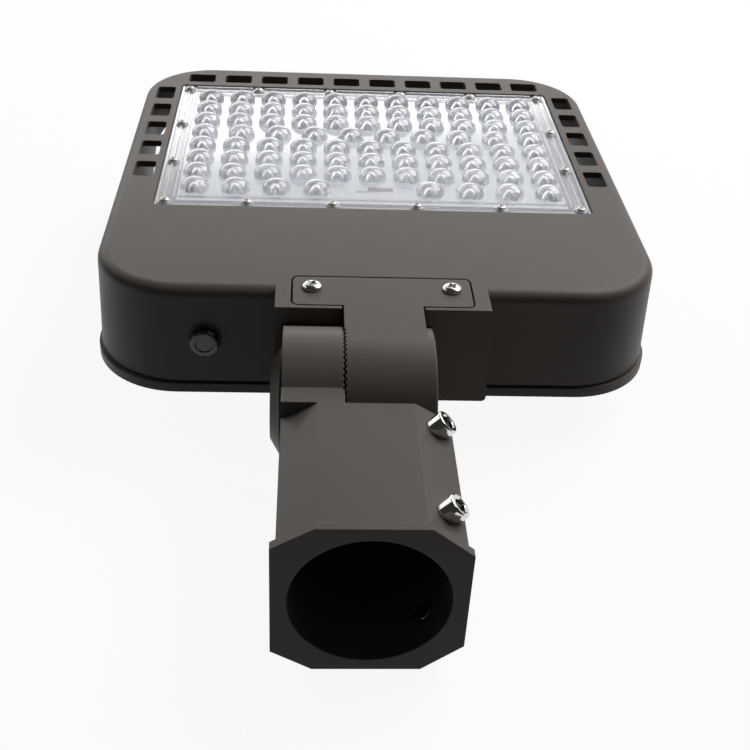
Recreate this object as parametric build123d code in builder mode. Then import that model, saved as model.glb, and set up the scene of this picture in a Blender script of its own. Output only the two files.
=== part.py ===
import os
from math import cos, radians, sin, tan

from build123d import *

# LED area light with a slip fitter, lying on its back with the optic face up.
# Origin: centre of the tenon bore's mouth. +Y runs into the bore and on along
# the head, +X is to the right, +Z comes out of the optic face. Millimetres.

# Clearances
running_clearance = 0.08
body_gap = 0.3
seat_gap = 0.15

# Slip fitter casting
bore_radius = 32.0
bore_depth = 74.5
flange_thickness = 4.2
flange_half_width = 38.4
flange_half_height = 37.5
flange_flat_half = 21.8
flange_side_half_left = 27.3
flange_side_half_right = 24.2
fitter_half_width = 36.2
fitter_half_height = 35.0
fitter_flat_half = 20.6
fitter_side_half_left = 26.6
fitter_side_half_right = 25.6
web_foot = 5.0

# Tilt knuckle
pivot_height = 10.5
knuckle_radius = 34.1
pivot_y = 115.6
serration_x = -8.9
serration_depth = 0.9
serration_count = 72
serration_inner_radius = 25.5
serration_share = 0.85
hub_width = 40.3
pivot_radius = 6.0
pivot_head_across = 19.0
pivot_head_thickness = 7.5
pivot_nut_thickness = 8.0
pivot_washer_radius = 12.0
pivot_washer_thickness = 2.0
cap_radius = 24.6
cap_top_radius = 17.4
cap_thickness = 5.3
cap_rim = 1.0
pivot_end_gap = 1.0
pivot_head_pocket = 12.0
hub_nut_pocket = 13.0
hub_nut_depth = 10.8
hub_edge_round = 1.0
chamber_radius = 21.0
chamber_depth = 16.0

# Tenon set screws
set_screw_radius = 5.55
set_screw_length = 15.4
set_screw_angle = 45.0
set_screw_front_y = 18.2
set_screw_rear_y = 70.5
set_screw_recess = 0.6
set_screw_socket_across = 5.6
set_screw_socket_depth = 5.0
set_screw_chamfer = 0.8

# Wire grommet in the web behind the bore
grommet_x = -17.0
grommet_z = -4.0
grommet_hole_radius = 6.0
grommet_bore_radius = 3.6
grommet_flange_radius = 8.5
grommet_flange_thickness = 1.5
grommet_recess = 0.2

# Head outline
head_centre_x = 9.7
face_z = pivot_height + knuckle_radius
head_half_width = 138.5
head_front_y = 156.3
head_length = 284.7
head_corner = 42.0
wall_height = 51.5
wall_draft = 2.0
face_edge_round = 5.5
wall = 3.5
face_plate = 3.5
far_wall_height = 32.6
far_flat = 23.0
far_slope = 46.0

# Mounting block on the head for the arm
block_front_gap = 25.4
block_half_top = 50.2
block_flare = 1.8
pocket_clearance = 1.9
pocket_side = 0.8
block_back = 12.0
block_corner = 2.2

# Arm bracket
arm_plate_half = 42.1
arm_plate_length = 25.2
arm_plate_thickness = 6.0
arm_plate_corner = 3.0
arm_rim = 3.0
arm_gap = 0.9
neck_width = 36.8
neck_depth = 14.0
arm_screw_spread = 66.2
arm_screw_radius = 2.5
arm_screw_head_radius = 4.7
arm_screw_head_height = 2.6
arm_screw_length = 16.0
arm_screw_back = 2.8
arm_screw_head_round = 1.2

# Lens window
window_half_width = 117.0
window_front = 84.9
window_length = 168.4
window_corner = 3.0
plate_gap = 0.8
plate_recess = 1.3
plate_thickness = 3.0
ledge_width = 10.0
gasket_thickness = 1.0
gasket_width = 2.2
gasket_inset = 7.4
board_drop = 1.7
deck_thickness = 4.0
rib_width = 1.6
rib_height = 0.8
inner_rib_inset_x = 11.0
inner_rib_inset_y = 12.5

# Lenses and light-emitting diodes
lens_span_half = 97.0
lens_radius = 7.9
lens_shoulder_radius = 6.1
lens_shoulder_height = 3.9
lens_top_radius = 2.7
lens_height = 6.0
lens_sides = 8
first_row_inset = 23.8
row_pitch = 17.8
row_counts = [8, 11, 11, 11, 10, 11, 11, 11]
front_row_gap_half = 31.0
front_row_pitch = 22.0
chip_length = 3.5
chip_width = 2.8
chip_height = 0.65
board_thickness = 1.6
board_gap = 1.0
board_screw_radius = 1.5
board_screw_head_radius = 2.2
board_screw_head_height = 0.8
board_screw_length = 4.2

# Lens screws
lens_screw_radius = 1.5
lens_screw_head_radius = 2.5
lens_screw_head_height = 1.4
lens_screw_length = 8.0
lens_boss_radius = 3.6
lens_boss_height = 1.0
lens_screw_inset = 5.6
lens_screw_near = 22.6
lens_screw_far = 68.0
lens_screw_side = 26.4
lens_screw_side_shift = 2.4

# Vent slots through the rim
side_slot_width = 11.2
side_slot_length = 18.8
side_slot_pitch = 27.8
side_slot_first = 127.9
side_slot_offset = 126.0
side_slot_count = 5
far_slot_length = 16.9
far_slot_width = 12.6
far_slot_pitch = 23.35
far_slot_count = 10
far_slot_inset = 19.4
slot_corner = 2.0
channel_wall = 2.5
channel_start = 106.0

# Driver compartment
driver_bay_front = 18.0
driver_bay_length = 60.0
driver_bay_half = 128.0
driver_bay_roof = 9.0
light_bay_half = 115.0
light_bay_length = 118.0
bay_divider = 6.0

# Rear cover with its fins
cover_thickness = 5.0
cover_proud = 1.2
cover_gasket_thickness = 0.8
cover_gasket_width = 2.5
gasket_setback = 1.0
fin_thickness = 3.0
fin_pitch = 15.0
fin_count = 15
fin_start = 38.0
fin_run = 168.0
cover_screw_radius = 2.0
cover_screw_head_radius = 3.6
cover_screw_head_height = 2.2
cover_screw_length = 14.0
cover_screw_front = 8.7
cover_screw_back = 4.0
cover_screw_rows = [(50.0, 104.0), (97.5,), (37.5, 97.5)]

# Breather plug on the near wall
plug_x = -74.2
plug_z = 17.1
plug_radius = 7.2
plug_height = 3.2
plug_stem_radius = 5.0
plug_stem_length = 9.0
plug_washer_thickness = 1.2
plug_facets = 12
plug_edge = 1.2
plug_boss_radius = 8.2
plug_boss_proud = 0.6

# Parts in the driver bay
driver_length = 165.0
driver_width = 54.0
driver_height = 30.0
surge_length = 42.0
surge_width = 34.0
surge_height = 24.0
terminal_length = 30.0
terminal_width = 22.0
terminal_height = 14.0
inner_gap = 6.0
driver_ear = 8.0
driver_ear_thickness = 2.0
driver_screw_radius = 2.0
driver_screw_length = 6.0

# Leads on the board
lead_radius = 0.45
lead_pitch = 2.2
lead_length = 14.0
lead_inset = 29.5
connector_length = 6.0
connector_width = 6.0
connector_height = 0.9

os.makedirs("parts", exist_ok=True)


def write(piece, name):
    piece.part.label = name
    export_step(piece.part, "parts/" + name + ".step")


# Derived places
hub_right = serration_x + hub_width
knuckle_face_x = serration_x - body_gap / 2
hub_face_x = serration_x + body_gap / 2
shoulder_y = pivot_y - knuckle_radius - body_gap
block_front_y = pivot_y + block_front_gap
head_far_y = head_front_y + head_length
head_mid_y = (head_front_y + head_far_y) / 2
seam_z = face_z - wall_height
window_near_y = head_front_y + window_front
window_far_y = window_near_y + window_length
window_mid_y = (window_near_y + window_far_y) / 2
plate_top_z = face_z - plate_recess
plate_bottom_z = plate_top_z - plate_thickness
ledge_z = plate_bottom_z - gasket_thickness
deck_z = ledge_z - board_drop
board_top_z = deck_z + board_thickness
pocket_radius = knuckle_radius + pocket_clearance
pivot_line = Plane(origin=(0, pivot_y, pivot_height), x_dir=(0, 1, 0), z_dir=(1, 0, 0))


def octagon(flat_half, half_width, half_height, left_half, right_half):
    return [
        (-flat_half, half_height),
        (flat_half, half_height),
        (half_width, right_half),
        (half_width, -right_half),
        (flat_half, -half_height),
        (-flat_half, -half_height),
        (-half_width, -left_half),
        (-half_width, left_half),
    ]


def across(y):
    """Plane square to the bore at y, with X to the right and Z up."""
    return Plane.XZ.offset(-y)


flange_points = octagon(
    flange_flat_half,
    flange_half_width,
    flange_half_height,
    flange_side_half_left,
    flange_side_half_right,
)
fitter_points = octagon(
    fitter_flat_half,
    fitter_half_width,
    fitter_half_height,
    fitter_side_half_left,
    fitter_side_half_right,
)

# Tenon set screws stand radially at 45 degrees, above and below the side facet
set_screws = {
    "set_screw_front_upper": (set_screw_front_y, set_screw_angle),
    "set_screw_rear_upper": (set_screw_rear_y, set_screw_angle),
    "set_screw_front_lower": (set_screw_front_y, -set_screw_angle),
    "set_screw_rear_lower": (set_screw_rear_y, -set_screw_angle),
}


def screw_plane(y, angle, radius):
    """Plane across a set screw's axis at this distance from the bore's axis."""
    out = Vector(cos(radians(angle)), 0, sin(radians(angle)))
    return Plane(origin=Vector(0, y, 0) + out * radius, x_dir=(0, 1, 0), z_dir=out)


# One radial groove of the serrated joint faces, cut towards -X
groove_half_angle = serration_share * 180.0 / serration_count
with BuildPart() as groove:
    for groove_radius in (serration_inner_radius, knuckle_radius + serration_depth):
        groove_half = groove_radius * tan(radians(groove_half_angle))
        with BuildSketch(Plane(origin=(0, 0, groove_radius), x_dir=(0, 1, 0), z_dir=(0, 0, 1))):
            Polygon(
                (-groove_half, -serration_depth),
                (-groove_half, 0),
                (0, serration_depth),
                (groove_half, 0),
                (groove_half, -serration_depth),
                align=None,
            )
    loft(ruled=True)
serration_step = 360.0 / serration_count
knuckle_grooves = []
hub_grooves = []
for index in range(serration_count):
    turn = index * serration_step
    knuckle_grooves.append(Location((knuckle_face_x, pivot_y, pivot_height), (turn, 0, 0)))
    half_on = turn + serration_step / 2
    hub_grooves.append(Location((hub_face_x, pivot_y, pivot_height), (half_on, 0, 0)))

# Slip fitter: octagonal socket with a flange, and the left half of the knuckle
with BuildPart() as slip_fitter:
    with BuildSketch(across(0)):
        Polygon(*flange_points, align=None)
    extrude(amount=-flange_thickness)
    with BuildSketch(across(flange_thickness)):
        Polygon(*fitter_points, align=None)
    extrude(amount=-(shoulder_y - flange_thickness))
    # On the left a square web runs on from the shoulder to the pivot
    with BuildSketch(across(shoulder_y)):
        with Locations((-fitter_half_width, 0)):
            Rectangle(
                knuckle_face_x + fitter_half_width,
                2 * fitter_half_height,
                align=(Align.MIN, Align.CENTER),
            )
    extrude(amount=-(pivot_y - shoulder_y))
    # Below, the web tapers up to the round of the knuckle
    with BuildSketch(Plane.YZ.offset(-2 * fitter_half_width)):
        Polygon(
            (shoulder_y + web_foot, -2 * fitter_half_height),
            (2 * pivot_y, -2 * fitter_half_height),
            (2 * pivot_y, pivot_height - knuckle_radius),
            (pivot_y, pivot_height - knuckle_radius),
            (shoulder_y + web_foot, -fitter_half_height),
            align=None,
        )
    extrude(amount=4 * fitter_half_width, mode=Mode.SUBTRACT)
    with BuildSketch(pivot_line.offset(-fitter_half_width)):
        Circle(knuckle_radius)
    extrude(amount=knuckle_face_x + fitter_half_width)
    with Locations(*knuckle_grooves):
        add(groove.part, mode=Mode.SUBTRACT)
    with BuildSketch(across(0)):
        Circle(bore_radius)
    extrude(amount=-bore_depth, mode=Mode.SUBTRACT)
    # Threaded holes of the set screws
    for screw_y, angle in set_screws.values():
        with BuildSketch(screw_plane(screw_y, angle, 0)):
            Circle(set_screw_radius + running_clearance)
        extrude(amount=2 * fitter_half_width, mode=Mode.SUBTRACT)
    # Wire way from the bore, and the pivot bolt's hole with its head's pocket
    with BuildSketch(across(bore_depth)):
        with Locations((grommet_x, grommet_z)):
            Circle(grommet_hole_radius)
    extrude(amount=-(pivot_y - bore_depth), mode=Mode.SUBTRACT)
    # The grommet's flange lies sunk, so the tenon can reach the web
    with BuildSketch(across(bore_depth)):
        with Locations((grommet_x, grommet_z)):
            Circle(grommet_flange_radius + running_clearance)
    extrude(amount=-(grommet_recess + grommet_flange_thickness), mode=Mode.SUBTRACT)
    with BuildSketch(pivot_line.offset(knuckle_face_x - chamber_depth)):
        Circle(chamber_radius)
        Circle(pivot_radius + wall, mode=Mode.SUBTRACT)
    extrude(amount=chamber_depth, mode=Mode.SUBTRACT)
    with BuildSketch(pivot_line.offset(-fitter_half_width)):
        Circle(pivot_radius + running_clearance)
    extrude(amount=3 * fitter_half_width, mode=Mode.SUBTRACT)
    with BuildSketch(pivot_line.offset(-fitter_half_width)):
        Circle(pivot_head_pocket)
    extrude(amount=pivot_head_thickness + seat_gap, mode=Mode.SUBTRACT)
write(slip_fitter, "slip_fitter")

# Pivot bolt from the left, with its washer and nut in the hub's right end
pivot_head_seat = -fitter_half_width + pivot_head_thickness + seat_gap
nut_seat = hub_right - hub_nut_depth
with BuildPart() as pivot_bolt:
    with BuildSketch(pivot_line.offset(pivot_head_seat - pivot_head_thickness)):
        RegularPolygon(pivot_head_across / 2, 6, major_radius=False)
    extrude(amount=pivot_head_thickness)
    with BuildSketch(pivot_line.offset(pivot_head_seat)):
        Circle(pivot_radius)
    extrude(amount=hub_right - pivot_end_gap - pivot_head_seat)
write(pivot_bolt, "pivot_bolt")

with BuildPart() as pivot_washer:
    with BuildSketch(pivot_line.offset(nut_seat + body_gap)):
        Circle(pivot_washer_radius)
        Circle(pivot_radius + running_clearance, mode=Mode.SUBTRACT)
    extrude(amount=pivot_washer_thickness)
write(pivot_washer, "pivot_washer")

with BuildPart() as pivot_nut:
    with BuildSketch(pivot_line.offset(nut_seat + body_gap + pivot_washer_thickness)):
        RegularPolygon(pivot_head_across / 2, 6, major_radius=False)
        Circle(pivot_radius + running_clearance, mode=Mode.SUBTRACT)
    extrude(amount=pivot_nut_thickness)
write(pivot_nut, "pivot_nut")

# Round cover over the bolt's head, coned towards its face
with BuildPart() as knuckle_cap:
    with BuildSketch(pivot_line.offset(-fitter_half_width)):
        Circle(cap_radius)
    extrude(amount=-cap_rim)
    with BuildSketch(pivot_line.offset(-fitter_half_width - cap_rim)):
        Circle(cap_radius)
    with BuildSketch(pivot_line.offset(-fitter_half_width - cap_thickness)):
        Circle(cap_top_radius)
    loft()
write(knuckle_cap, "knuckle_cap")

# Grommet where the supply leads leave the bore
grommet_front = bore_depth + grommet_recess
grommet_seat = grommet_front + grommet_flange_thickness
with BuildPart() as wire_grommet:
    with BuildSketch(across(grommet_front)):
        with Locations((grommet_x, grommet_z)):
            Circle(grommet_flange_radius)
            Circle(grommet_bore_radius, mode=Mode.SUBTRACT)
    extrude(amount=-grommet_flange_thickness)
    with BuildSketch(across(grommet_seat)):
        with Locations((grommet_x, grommet_z)):
            Circle(grommet_hole_radius - running_clearance)
            Circle(grommet_bore_radius, mode=Mode.SUBTRACT)
    extrude(amount=-(shoulder_y - grommet_seat))
write(wire_grommet, "wire_grommet")

for screw_name, (screw_y, angle) in set_screws.items():
    tip = bore_radius + set_screw_recess
    with BuildPart() as set_screw:
        with BuildSketch(screw_plane(screw_y, angle, tip)):
            Circle(set_screw_radius)
        extrude(amount=set_screw_length)
        chamfer(set_screw.faces().filter_by(GeomType.PLANE).edges(), set_screw_chamfer)
        with BuildSketch(screw_plane(screw_y, angle, tip + set_screw_length)):
            RegularPolygon(set_screw_socket_across / 2, 6, major_radius=False)
        extrude(amount=-set_screw_socket_depth, mode=Mode.SUBTRACT)
    write(set_screw, screw_name)

# Arm bracket: right half of the knuckle, neck, and crossbar let into the head
arm_near_y = block_front_y + arm_rim
arm_mid_y = arm_near_y + arm_plate_length / 2
arm_screw_places = [(head_centre_x - arm_screw_spread / 2, arm_mid_y + arm_screw_back)]
arm_screw_places.append((head_centre_x + arm_screw_spread / 2, arm_mid_y + arm_screw_back))
with BuildPart() as arm_bracket:
    with BuildSketch(pivot_line.offset(hub_face_x)):
        Circle(knuckle_radius)
    extrude(amount=hub_right - hub_face_x)
    fillet(arm_bracket.faces().sort_by(Axis.X)[-1].edges(), hub_edge_round)
    with BuildSketch(Plane.XY.offset(face_z)):
        with Locations((hub_face_x, pivot_y)):
            Rectangle(neck_width, arm_near_y + wall - pivot_y, align=(Align.MIN, Align.MIN))
    extrude(amount=-neck_depth)
    with BuildSketch(Plane.XY.offset(face_z)):
        with Locations((head_centre_x, arm_mid_y)):
            RectangleRounded(2 * arm_plate_half, arm_plate_length, arm_plate_corner)
    extrude(amount=-arm_plate_thickness)
    with Locations(*hub_grooves):
        add(groove.part.mirror(Plane.YZ), mode=Mode.SUBTRACT)
    with BuildSketch(pivot_line.offset(hub_face_x)):
        Circle(chamber_radius)
        Circle(pivot_radius + wall, mode=Mode.SUBTRACT)
    extrude(amount=chamber_depth, mode=Mode.SUBTRACT)
    with BuildSketch(pivot_line.offset(hub_face_x)):
        Circle(pivot_radius + running_clearance)
    extrude(amount=hub_width, mode=Mode.SUBTRACT)
    with BuildSketch(pivot_line.offset(nut_seat)):
        Circle(hub_nut_pocket)
    extrude(amount=hub_width, mode=Mode.SUBTRACT)
    with BuildSketch(Plane.XY.offset(face_z)):
        with Locations(*arm_screw_places):
            Circle(arm_screw_radius + running_clearance)
    extrude(amount=-arm_plate_thickness, mode=Mode.SUBTRACT)
write(arm_bracket, "arm_bracket")

with BuildPart() as arm_screws:
    with BuildSketch(Plane.XY.offset(face_z)):
        with Locations(*arm_screw_places):
            Circle(arm_screw_head_radius)
    extrude(amount=arm_screw_head_height)
    fillet(arm_screws.faces().group_by(Axis.Z)[-1].edges(), arm_screw_head_round)
    with BuildSketch(Plane.XY.offset(face_z)):
        with Locations(*arm_screw_places):
            Circle(arm_screw_radius)
    extrude(amount=-arm_screw_length)
write(arm_screws, "arm_screws")

# Places shared by the housing, the lens plate and the board
slot_far_y = head_far_y - far_slot_inset
side_slot_places = []
for side in (-1, 1):
    for index in range(side_slot_count):
        slot_y = head_front_y + side_slot_first + index * side_slot_pitch
        side_slot_places.append((head_centre_x + side * side_slot_offset, slot_y))
lens_screw_places = []
for side in (-1, 1):
    edge_y = window_mid_y + side * (window_length / 2 - lens_screw_inset)
    for offset_x in (lens_screw_near, lens_screw_far, window_half_width - lens_screw_inset):
        lens_screw_places.append((head_centre_x - offset_x, edge_y))
        lens_screw_places.append((head_centre_x + offset_x, edge_y))
    edge_x = head_centre_x + side * (window_half_width - lens_screw_inset)
    for offset_y in (-lens_screw_side, lens_screw_side):
        lens_screw_places.append((edge_x, window_mid_y - lens_screw_side_shift + offset_y))
lens_places = []
for row, count in enumerate(row_counts):
    row_y = window_near_y + first_row_inset + row * row_pitch
    if row == 0:
        offsets = [front_row_gap_half + front_row_pitch * index for index in range(count // 2)]
        offsets = [-offset for offset in offsets] + offsets
    else:
        offsets = [lens_span_half * (2 * index / (count - 1) - 1) for index in range(count)]
    for offset_x in offsets:
        lens_places.append((head_centre_x + offset_x, row_y))
bay_front_y = head_front_y + driver_bay_front
bay_back_y = bay_front_y + driver_bay_length
light_bay_y = bay_back_y + bay_divider
bay_roof_z = face_z - driver_bay_roof
slope_y = head_far_y - far_flat - far_slope
cover_screw_ys = [head_front_y + cover_screw_front, bay_back_y + bay_divider / 2]
cover_screw_ys.append(light_bay_y + light_bay_length + cover_screw_back)
cover_screw_places = []
for screw_y, offsets in zip(cover_screw_ys, cover_screw_rows):
    for offset_x in offsets:
        cover_screw_places.append((head_centre_x - offset_x, screw_y))
        cover_screw_places.append((head_centre_x + offset_x, screw_y))
board_half = window_half_width - ledge_width - board_gap
board_length = window_length - 2 * ledge_width - 2 * board_gap
board_screw_reach = board_half - 4
board_screw_places = [
    (head_centre_x - board_screw_reach, window_mid_y),
    (head_centre_x + board_screw_reach, window_mid_y),
]
driver_x = head_centre_x - driver_bay_half + driver_ear + inner_gap + driver_length / 2
driver_y = bay_front_y + driver_bay_length / 2
driver_screw_places = [
    (driver_x - (driver_length + driver_ear) / 2, driver_y),
    (driver_x + (driver_length + driver_ear) / 2, driver_y),
]
plug_face_y = head_front_y - tan(radians(wall_draft)) * (face_z - plug_z) - plug_boss_proud

# Housing: die-cast shell with the mounting block, window, vents and bays
with BuildPart() as housing:
    with BuildSketch(Plane.XY.offset(face_z)):
        with Locations((head_centre_x, head_mid_y)):
            RectangleRounded(2 * head_half_width, head_length, head_corner)
    extrude(amount=-wall_height, taper=-wall_draft)
    fillet(housing.faces().sort_by(Axis.Z)[-1].edges(), face_edge_round)
    with BuildSketch(Plane.YZ.offset(head_centre_x - 2 * head_half_width)):
        Polygon(
            (slope_y, seam_z),
            (slope_y + far_slope, face_z - far_wall_height),
            (2 * head_far_y, face_z - far_wall_height),
            (2 * head_far_y, seam_z - wall_height),
            (slope_y, seam_z - wall_height),
            align=None,
        )
    extrude(amount=4 * head_half_width, mode=Mode.SUBTRACT)
    with BuildSketch(across(block_front_y)) as block_profile:
        Polygon(
            (head_centre_x - block_half_top, face_z),
            (head_centre_x + block_half_top, face_z),
            (head_centre_x + block_half_top + block_flare, seam_z),
            (head_centre_x - block_half_top - block_flare, seam_z),
            align=None,
        )
        fillet(block_profile.vertices().group_by(Axis.Y)[0], block_corner)
    extrude(amount=-(head_front_y + block_back - block_front_y))
    with BuildSketch(across(plug_face_y)):
        with Locations((plug_x, plug_z)):
            Circle(plug_boss_radius)
    extrude(amount=-plug_stem_length)
    # Round pocket for the knuckle and for the cap on its left
    with BuildSketch(pivot_line.offset(-fitter_half_width - pocket_side)):
        Circle(pocket_radius)
    extrude(amount=hub_right + fitter_half_width + 2 * pocket_side, mode=Mode.SUBTRACT)
    with BuildSketch(pivot_line.offset(-fitter_half_width)):
        Circle(cap_radius + pocket_clearance)
    extrude(amount=-2 * cap_thickness, mode=Mode.SUBTRACT)
    # Seat of the arm's crossbar, and the way in for its neck
    with BuildSketch(Plane.XY.offset(face_z)):
        with Locations((head_centre_x, arm_mid_y)):
            RectangleRounded(
                2 * (arm_plate_half + arm_gap),
                arm_plate_length + 2 * arm_gap,
                arm_plate_corner + arm_gap,
            )
    extrude(amount=-arm_plate_thickness, mode=Mode.SUBTRACT)
    with BuildSketch(Plane.XY.offset(face_z)):
        with Locations((hub_face_x - arm_gap, block_front_y - wall)):
            Rectangle(neck_width + 2 * arm_gap, arm_rim + 3 * wall, align=(Align.MIN, Align.MIN))
    extrude(amount=-(neck_depth + arm_gap), mode=Mode.SUBTRACT)
    # Window: a ledge for the lens plate round a deeper pocket for the board
    with BuildSketch(Plane.XY.offset(face_z)):
        with Locations((head_centre_x, window_mid_y)):
            RectangleRounded(2 * window_half_width, window_length, window_corner)
    extrude(amount=-(face_z - ledge_z), mode=Mode.SUBTRACT)
    with BuildSketch(Plane.XY.offset(ledge_z)):
        with Locations((head_centre_x, window_mid_y)):
            Rectangle(2 * (window_half_width - ledge_width), window_length - 2 * ledge_width)
    extrude(amount=-(ledge_z - deck_z), mode=Mode.SUBTRACT)
    # Vent slots, and the air channel behind them along the sides and the far edge
    with BuildSketch(Plane.XY.offset(face_z)):
        with Locations((head_centre_x, slot_far_y)):
            with GridLocations(far_slot_pitch, 0, far_slot_count, 1):
                RectangleRounded(far_slot_length, far_slot_width, slot_corner)
        with Locations(*side_slot_places):
            RectangleRounded(side_slot_width, side_slot_length, slot_corner)
    extrude(amount=-2 * face_plate, mode=Mode.SUBTRACT)
    with BuildSketch(Plane.XY.offset(face_z - face_plate)):
        with Locations((head_centre_x, head_mid_y)):
            RectangleRounded(2 * (head_half_width - wall), head_length - 2 * wall, head_corner - wall)
        with Locations((head_centre_x, window_far_y + channel_wall)):
            Rectangle(
                2 * (window_half_width + channel_wall),
                2 * head_length,
                align=(Align.CENTER, Align.MAX),
                mode=Mode.SUBTRACT,
            )
        with Locations((head_centre_x, head_front_y + channel_start)):
            Rectangle(
                4 * head_half_width,
                head_length,
                align=(Align.CENTER, Align.MAX),
                mode=Mode.SUBTRACT,
            )
    extrude(amount=-wall_height, mode=Mode.SUBTRACT)
    # Driver bay and the bay behind the board, open to the rear cover
    with BuildSketch(Plane.XY.offset(seam_z)):
        with Locations((head_centre_x, bay_front_y)):
            Rectangle(2 * driver_bay_half, driver_bay_length, align=(Align.CENTER, Align.MIN))
    extrude(amount=bay_roof_z - seam_z, mode=Mode.SUBTRACT)
    with BuildSketch(Plane.XY.offset(seam_z)):
        with Locations((head_centre_x, light_bay_y)):
            Rectangle(2 * light_bay_half, light_bay_length, align=(Align.CENTER, Align.MIN))
    extrude(amount=deck_z - deck_thickness - seam_z, mode=Mode.SUBTRACT)
    # Screw holes
    with BuildSketch(Plane.XY.offset(ledge_z)):
        with Locations(*lens_screw_places):
            Circle(lens_screw_radius + running_clearance)
    extrude(amount=-lens_screw_length, mode=Mode.SUBTRACT)
    with BuildSketch(Plane.XY.offset(deck_z)):
        with Locations(*board_screw_places):
            Circle(board_screw_radius + running_clearance)
    extrude(amount=-board_screw_length, mode=Mode.SUBTRACT)
    with BuildSketch(Plane.XY.offset(face_z - arm_plate_thickness)):
        with Locations(*arm_screw_places):
            Circle(arm_screw_radius + running_clearance)
    extrude(amount=-arm_screw_length, mode=Mode.SUBTRACT)
    with BuildSketch(Plane.XY.offset(bay_roof_z)):
        with Locations(*driver_screw_places):
            Circle(driver_screw_radius + running_clearance)
    extrude(amount=driver_screw_length - driver_ear_thickness, mode=Mode.SUBTRACT)
    with BuildSketch(Plane.XY.offset(seam_z)):
        with Locations(*cover_screw_places):
            Circle(cover_screw_radius + running_clearance)
    extrude(amount=cover_screw_length, mode=Mode.SUBTRACT)
    with BuildSketch(across(plug_face_y)):
        with Locations((plug_x, plug_z)):
            Circle(plug_stem_radius + running_clearance)
    extrude(amount=-driver_bay_front - plug_stem_length, mode=Mode.SUBTRACT)
write(housing, "housing")

# One domed lens in three steps, set slightly into the plate
with BuildPart() as dome:
    dome_sections = [
        (lens_radius, -rib_height),
        (lens_shoulder_radius, lens_shoulder_height),
        (lens_top_radius, lens_height),
    ]
    for dome_radius, dome_z in dome_sections:
        with BuildSketch(Plane.XY.offset(dome_z)):
            RegularPolygon(dome_radius, lens_sides, rotation=180 / lens_sides)
    loft(ruled=True)

# Clear lens plate: flat sheet with ribs, screw bosses and the domed lenses
plate_half = window_half_width - plate_gap
plate_length = window_length - 2 * plate_gap
with BuildPart() as lens_plate:
    with BuildSketch(Plane.XY.offset(plate_bottom_z)):
        with Locations((head_centre_x, window_mid_y)):
            RectangleRounded(2 * plate_half, plate_length, window_corner - plate_gap)
    extrude(amount=plate_thickness)
    with BuildSketch(Plane.XY.offset(plate_top_z)):
        with Locations((head_centre_x, window_mid_y)):
            RectangleRounded(2 * plate_half, plate_length, window_corner - plate_gap)
            Rectangle(2 * (plate_half - rib_width), plate_length - 2 * rib_width, mode=Mode.SUBTRACT)
    extrude(amount=rib_height)
    with BuildSketch(Plane.XY.offset(plate_top_z)):
        with Locations((head_centre_x, window_mid_y)):
            Rectangle(2 * (plate_half - inner_rib_inset_x), plate_length - 2 * inner_rib_inset_y)
            Rectangle(
                2 * (plate_half - inner_rib_inset_x - rib_width),
                plate_length - 2 * (inner_rib_inset_y + rib_width),
                mode=Mode.SUBTRACT,
            )
    extrude(amount=rib_height)
    with BuildSketch(Plane.XY.offset(plate_top_z)):
        with Locations(*lens_screw_places):
            Circle(lens_boss_radius)
    extrude(amount=lens_boss_height)
    with Locations(*[(x, y, plate_top_z) for x, y in lens_places]):
        add(dome.part)
    with BuildSketch(Plane.XY.offset(plate_bottom_z)):
        with Locations(*lens_screw_places):
            Circle(lens_screw_radius + running_clearance)
    extrude(amount=plate_thickness + lens_boss_height, mode=Mode.SUBTRACT)
write(lens_plate, "lens_plate")

# Seal between the lens plate and its ledge
with BuildPart() as lens_gasket:
    with BuildSketch(Plane.XY.offset(ledge_z)):
        with Locations((head_centre_x, window_mid_y)):
            Rectangle(2 * (window_half_width - gasket_inset), window_length - 2 * gasket_inset)
            Rectangle(
                2 * (window_half_width - gasket_inset - gasket_width),
                window_length - 2 * (gasket_inset + gasket_width),
                mode=Mode.SUBTRACT,
            )
    extrude(amount=gasket_thickness)
write(lens_gasket, "lens_gasket")

lens_screw_seat_z = plate_top_z + lens_boss_height
with BuildPart() as lens_screws:
    with BuildSketch(Plane.XY.offset(lens_screw_seat_z)):
        with Locations(*lens_screw_places):
            Circle(lens_screw_head_radius)
    extrude(amount=lens_screw_head_height)
    with BuildSketch(Plane.XY.offset(lens_screw_seat_z)):
        with Locations(*lens_screw_places):
            Circle(lens_screw_radius)
    extrude(amount=-(lens_screw_seat_z - ledge_z + lens_screw_length - seat_gap))
write(lens_screws, "lens_screws")

# Circuit board with one chip under each lens
with BuildPart() as led_board:
    with BuildSketch(Plane.XY.offset(deck_z)):
        with Locations((head_centre_x, window_mid_y)):
            Rectangle(2 * board_half, board_length)
        with Locations(*board_screw_places):
            Circle(board_screw_radius + running_clearance, mode=Mode.SUBTRACT)
    extrude(amount=board_thickness)
write(led_board, "led_board")

with BuildPart() as led_chips:
    with BuildSketch(Plane.XY.offset(board_top_z)):
        with Locations(*lens_places):
            Rectangle(chip_length, chip_width)
    extrude(amount=chip_height)
write(led_chips, "led_chips")

with BuildPart() as board_screws:
    with BuildSketch(Plane.XY.offset(board_top_z)):
        with Locations(*board_screw_places):
            Circle(board_screw_head_radius)
    extrude(amount=board_screw_head_height)
    with BuildSketch(Plane.XY.offset(board_top_z)):
        with Locations(*board_screw_places):
            Circle(board_screw_radius)
    extrude(amount=-(board_thickness + board_screw_length - seat_gap))
write(board_screws, "board_screws")

# Solder connector and its two short leads, in the gap of the nearest lens row
lead_y = window_near_y + lead_inset
connector_x = head_centre_x - connector_length
with BuildPart() as lead_connector:
    with BuildSketch(Plane.XY.offset(board_top_z)):
        with Locations((connector_x, lead_y)):
            Rectangle(connector_length, connector_width)
    extrude(amount=connector_height)
write(lead_connector, "lead_connector")

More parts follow.
